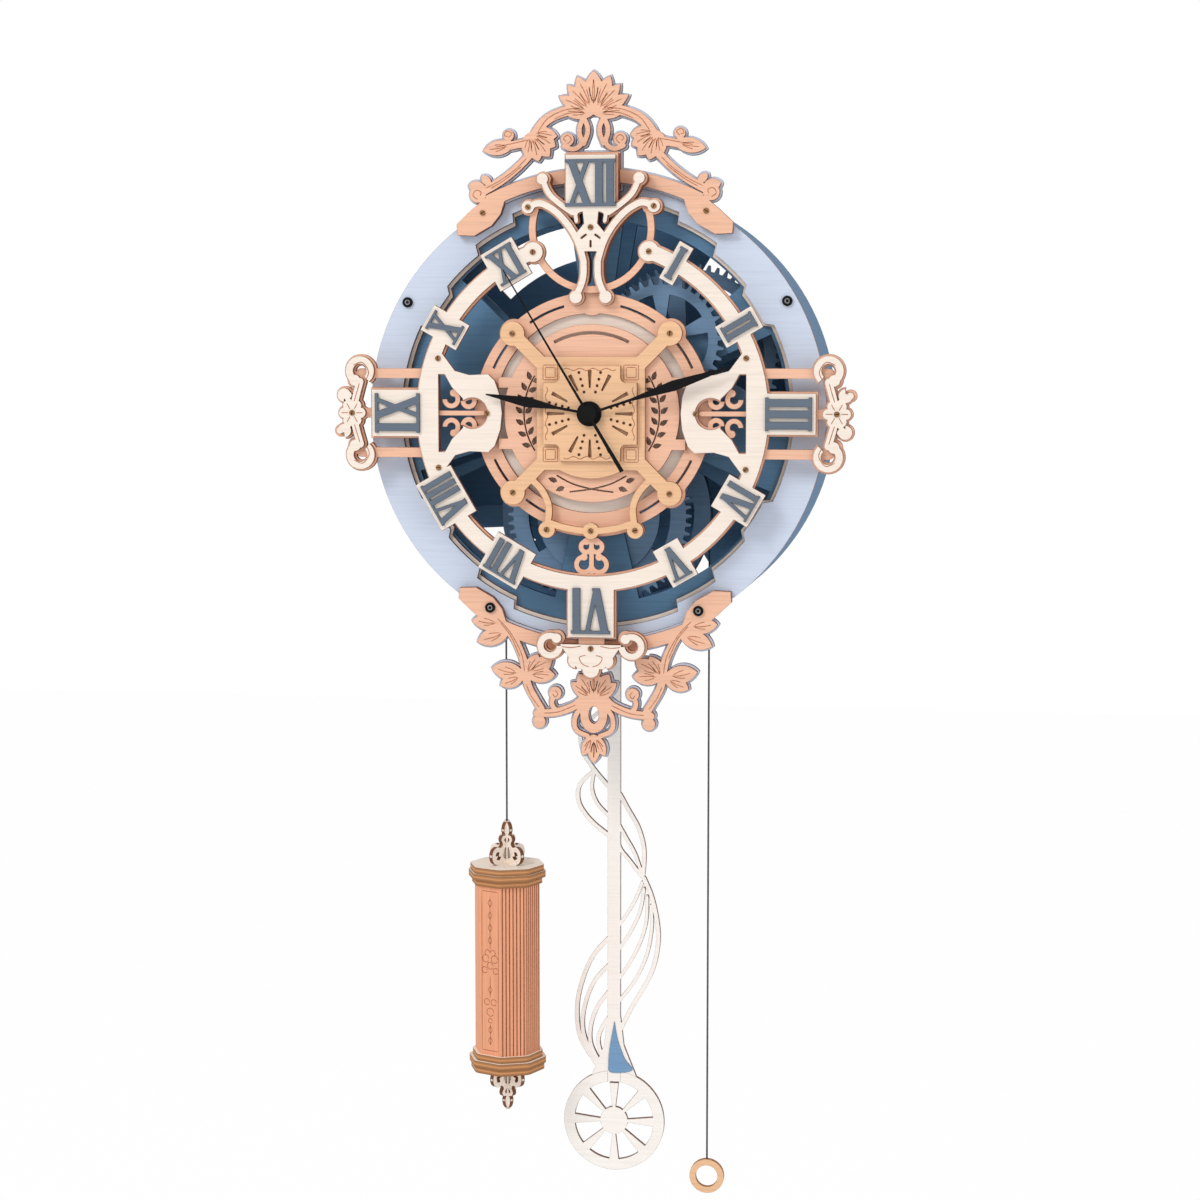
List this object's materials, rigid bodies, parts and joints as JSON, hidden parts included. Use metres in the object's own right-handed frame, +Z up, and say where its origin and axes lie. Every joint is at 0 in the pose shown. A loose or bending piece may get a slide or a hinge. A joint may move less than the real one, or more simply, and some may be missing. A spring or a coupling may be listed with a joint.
{
  "type": "weight-driven wooden gear clock",
  "caption": "Wall clock of laser-cut plywood: open gear train, skeleton dial, hands, pendulum, and a corded driving weight under a scrolled frame.",
  "frame": {"origin": "centre of the hanging hole, on the back plate's rear face against the wall", "axes": "+Z up, +Y into the wall, so the dial faces -Y and +X is to a viewer's right"},
  "size_m": [0.3184, 0.1073, 0.7022],
  "materials": {
    "peach_ply": "satin",
    "cream_ply": "satin",
    "tan_ply": "satin",
    "slate_ply": "satin",
    "blue_ply": "satin",
    "lilac_ply": "satin",
    "coral_ply": "satin",
    "natural_ply": "satin",
    "black_metal": "satin",
    "brass_screw": "satin",
    "cord": "matte",
    "core_steel": "matte"
  },
  "bodies": {
    "case": {"back_plate": "blue_ply", "side_walls": "blue_ply", "case_pillars": "blue_ply", "rear_movement_plate": "blue_ply", "front_movement_plate": "blue_ply", "sheave_bridge": "blue_ply", "bezel_backing": "cream_ply", "bezel": "lilac_ply", "dial_pillars": "natural_ply", "centre_disc": "cream_ply", "centre_ring": "peach_ply", "laurel_disc": "peach_ply", "rosette_plate": "tan_ply", "burst_plate": "tan_ply", "chapter_backing": "peach_ply", "chapter_ring": "cream_ply", "numeral_set": "slate_ply", "fork_back": "peach_ply", "fork_face": "cream_ply", "cream_scrolls": "cream_ply", "crown_backing": "lilac_ply", "crown": "peach_ply", "lower_ornament_backing": "lilac_ply", "lower_ornament": "peach_ply", "sheave_cord": "cord", "dial_screws": "brass_screw", "bezel_bolts": "black_metal", "weight_cord": "cord", "pull_cord": "cord"},
    "minute": {"minute_tube": "black_metal", "centre_wheel": "blue_ply", "centre_pinion": "blue_ply", "cannon_wheel": "blue_ply", "minute_hand": "black_metal"},
    "great": {"great_wheel": "blue_ply"},
    "third": {"third_wheel": "blue_ply", "third_pinion": "blue_ply", "third_arbor": "black_metal"},
    "second": {"second_arbor": "black_metal", "escape_wheel": "blue_ply", "escape_pinion": "blue_ply", "second_hand": "black_metal"},
    "motion": {"minute_wheel": "blue_ply", "minute_pinion": "blue_ply", "minute_arbor": "black_metal"},
    "hour": {"hour_wheel": "blue_ply", "hour_tube": "black_metal", "hour_hand": "black_metal"},
    "sheave": {"cord_sheave": "blue_ply", "sheave_arbor": "black_metal", "clutch_disc": "blue_ply"},
    "weight": {"weight_shell": "coral_ply", "weight_core": "core_steel", "weight_caps": "natural_ply", "weight_finials": "cream_ply"},
    "pull": {"pull_ring": "natural_ply"},
    "pendulum": {"anchor": "blue_ply", "anchor_arbor": "black_metal", "pendulum_rod": "cream_ply", "pendulum_bob": "cream_ply"}
  },
  "joints": [
    {"name": "minute_turn", "type": "hinge", "parent": "case", "child": "minute", "pos_m": [0, 0, -0.12], "axis": [0, 1, 0], "continuous": true},
    {"name": "great_turn", "type": "hinge", "parent": "case", "child": "great", "pos_m": [0, 0, -0.183], "axis": [0, 1, 0], "continuous": true},
    {"name": "third_turn", "type": "hinge", "parent": "case", "child": "third", "pos_m": [0.05343, 0, -0.08661], "axis": [0, 1, 0], "continuous": true},
    {"name": "second_turn", "type": "hinge", "parent": "case", "child": "second", "pos_m": [0, 0, -0.12], "axis": [0, 1, 0], "continuous": true},
    {"name": "motion_turn", "type": "hinge", "parent": "case", "child": "motion", "pos_m": [0.04092, 0, -0.07612], "axis": [0, 1, 0], "continuous": true},
    {"name": "hour_turn", "type": "hinge", "parent": "case", "child": "hour", "pos_m": [0, 0, -0.12], "axis": [0, 1, 0], "continuous": true},
    {"name": "weight_travel", "type": "slide", "parent": "case", "child": "weight", "axis": [0, 0, 1], "range_m": [-0.32, 0.1], "deforming": ["weight_cord"]},
    {"name": "sheave_turn", "type": "hinge", "parent": "case", "child": "sheave", "pos_m": [0, 0, -0.183], "axis": [0, 1, 0], "range_deg": [-290, 95]},
    {"name": "pull_travel", "type": "slide", "parent": "case", "child": "pull", "axis": [0, 0, 1], "range_m": [-0.1, 0.32], "deforming": ["pull_cord"]},
    {"name": "pendulum_swing", "type": "hinge", "parent": "case", "child": "pendulum", "pos_m": [0, 0, -0.06481], "axis": [0, 1, 0], "range_deg": [-3, 3]}
  ],
  "couplings": [
    {"joint": "great_turn", "follows": "minute_turn", "ratio": -0.125},
    {"joint": "third_turn", "follows": "minute_turn", "ratio": -7.5},
    {"joint": "second_turn", "follows": "minute_turn", "ratio": 60},
    {"joint": "motion_turn", "follows": "minute_turn", "ratio": -0.66667},
    {"joint": "hour_turn", "follows": "minute_turn", "ratio": 0.083333},
    {"joint": "sheave_turn", "follows": "weight_travel", "rad_per_m": 15.461},
    {"joint": "pull_travel", "follows": "weight_travel", "ratio": -1}
  ]
}
